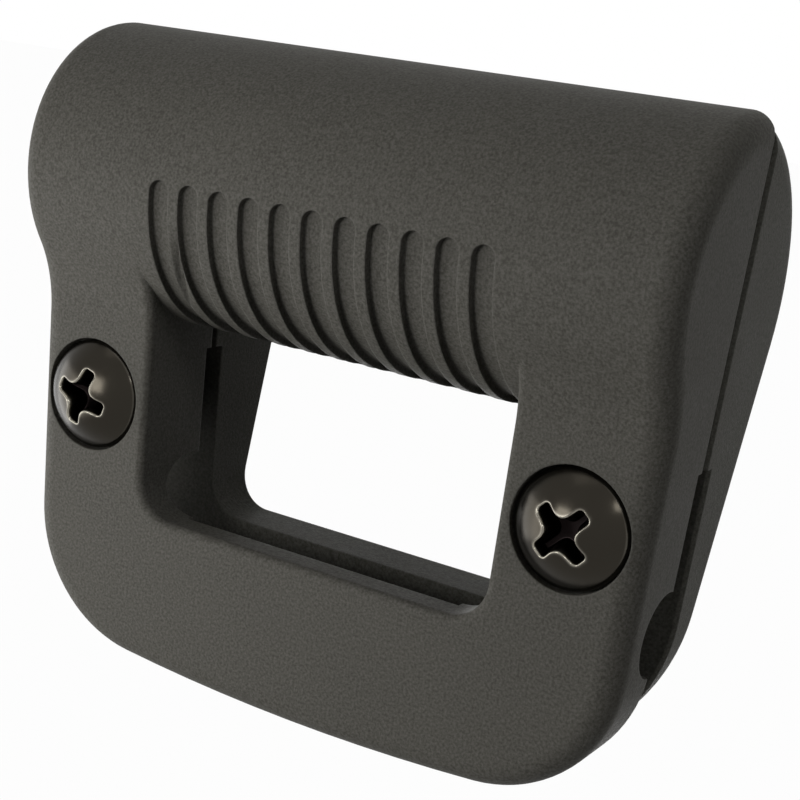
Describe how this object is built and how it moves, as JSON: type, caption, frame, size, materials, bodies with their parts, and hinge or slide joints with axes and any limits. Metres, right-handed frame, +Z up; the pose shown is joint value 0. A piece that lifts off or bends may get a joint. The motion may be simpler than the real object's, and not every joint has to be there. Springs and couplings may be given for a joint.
{
  "type": "basket light bracket",
  "caption": "Clamp-on bracket for a wire basket: a round bar for a lamp over a windowed plate, split into a front and a rear half drawn together by screws.",
  "frame": {"origin": "middle of the axis of the round bar that carries the lamp", "axes": "+X along the bar, +Y from the front face towards the basket, +Z up"},
  "size_m": [0.0542, 0.021, 0.0486],
  "materials": {
    "front_plastic": "fine moulded grain",
    "rear_plastic": "fine moulded grain",
    "screw_steel": "polished black zinc",
    "nut_steel": "zinc plated"
  },
  "bodies": {
    "front": {"front_half": "front_plastic"},
    "rear": {"rear_half": "rear_plastic", "nut_left": "nut_steel", "nut_right": "nut_steel"},
    "left_screw": {"screw_left": "screw_steel"},
    "right_screw": {"screw_right": "screw_steel"}
  },
  "joints": [
    {"name": "rear_opening", "type": "slide", "parent": "front", "child": "rear", "axis": [0, 1, 0], "range_m": [0, 0.002]},
    {"name": "left_screw_turn", "type": "hinge", "parent": "front", "child": "left_screw", "pos_m": [-0.0204, 0, -0.0168], "axis": [0, -1, 0], "range_deg": [0, 1029]},
    {"name": "right_screw_turn", "type": "hinge", "parent": "front", "child": "right_screw", "pos_m": [0.0204, 0, -0.0168], "axis": [0, -1, 0], "range_deg": [0, 1029]}
  ],
  "couplings": [
    {"joint": "left_screw_turn", "follows": "rear_opening", "rad_per_m": 8976},
    {"joint": "right_screw_turn", "follows": "rear_opening", "rad_per_m": 8976}
  ]
}
